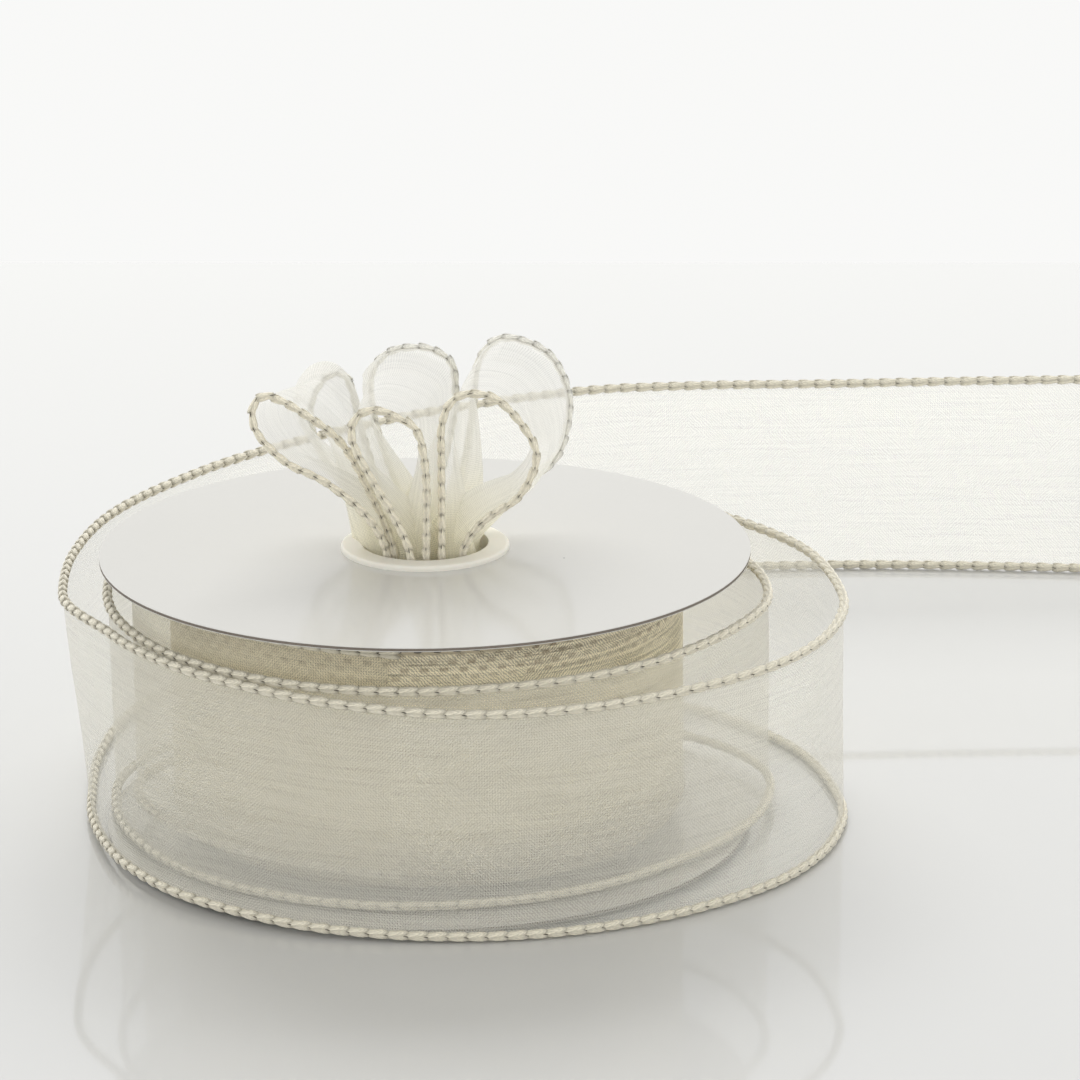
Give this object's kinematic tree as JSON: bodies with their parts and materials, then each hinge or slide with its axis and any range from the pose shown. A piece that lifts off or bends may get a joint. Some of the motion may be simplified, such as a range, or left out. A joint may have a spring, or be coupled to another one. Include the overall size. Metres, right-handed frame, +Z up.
{
  "type": "ribbon spool",
  "caption": "Flanged spool of wired sheer ribbon lying flat, with loose outer turns, a free tail and a small loop bow tucked into its hub.",
  "frame": {"origin": "on the spool's axis, at the foot of the lower hub half, where the spindle bore opens on the table", "axes": "+Z up along the spool's axis, +X to the right towards the free tail's end, +Y towards the tail behind the spool"},
  "size_m": [0.197, 0.1926, 0.0783],
  "materials": {
    "white_paper": "gloss coated",
    "grey_board": "raw cut edge",
    "hub_plastic": "satin",
    "core_paper": "raw",
    "paper_tape": "matt",
    "sheer_cloth": "sheer plain weave",
    "edge_cord": "overlocked thread",
    "edge_wire": "dark fine wire"
  },
  "bodies": {
    "loose_ribbon": {"inner_turn": "sheer_cloth", "inner_turn_lower_cord": "edge_cord", "inner_turn_upper_cord": "edge_cord", "inner_turn_lower_wire": "edge_wire", "inner_turn_upper_wire": "edge_wire", "outer_turn": "sheer_cloth", "outer_turn_lower_cord": "edge_cord", "outer_turn_upper_cord": "edge_cord", "outer_turn_lower_wire": "edge_wire", "outer_turn_upper_wire": "edge_wire"},
    "spool": {"upper_flange_board": "grey_board", "upper_flange_outer_liner": "white_paper", "upper_flange_inner_liner": "white_paper", "lower_flange_board": "grey_board", "lower_flange_outer_liner": "white_paper", "lower_flange_inner_liner": "white_paper", "hub_upper_half": "hub_plastic", "hub_lower_half": "hub_plastic", "core_tube": "core_paper", "start_tape": "paper_tape", "ribbon_pack": "sheer_cloth", "pack_upper_edge": "edge_cord", "pack_lower_edge": "edge_cord"},
    "free_tail": {"tail": "sheer_cloth", "tail_lower_cord": "edge_cord", "tail_upper_cord": "edge_cord", "tail_lower_wire": "edge_wire", "tail_upper_wire": "edge_wire"},
    "bow": {"bow_left_loop": "sheer_cloth", "bow_left_front_cord": "edge_cord", "bow_left_rear_cord": "edge_cord", "bow_left_front_wire": "edge_wire", "bow_left_rear_wire": "edge_wire", "bow_middle_loop": "sheer_cloth", "bow_middle_front_cord": "edge_cord", "bow_middle_rear_cord": "edge_cord", "bow_middle_front_wire": "edge_wire", "bow_middle_rear_wire": "edge_wire", "bow_right_loop": "sheer_cloth", "bow_right_front_cord": "edge_cord", "bow_right_rear_cord": "edge_cord", "bow_right_front_wire": "edge_wire", "bow_right_rear_wire": "edge_wire", "bow_tie_wire": "edge_wire"}
  },
  "joints": [
    {"name": "spool_spin", "type": "hinge", "parent": "loose_ribbon", "child": "spool", "pos_m": [0, 0, 0], "axis": [0, 0, 1], "continuous": true},
    {"name": "bow_lift", "type": "slide", "parent": "spool", "child": "bow", "axis": [0, 0, 1], "range_m": [0, 0.03]},
    {"name": "tail_swing", "type": "hinge", "parent": "loose_ribbon", "child": "free_tail", "pos_m": [-0.0027, 0.1159, 0], "axis": [0, 0, 1], "range_deg": [-12, 12]}
  ]
}
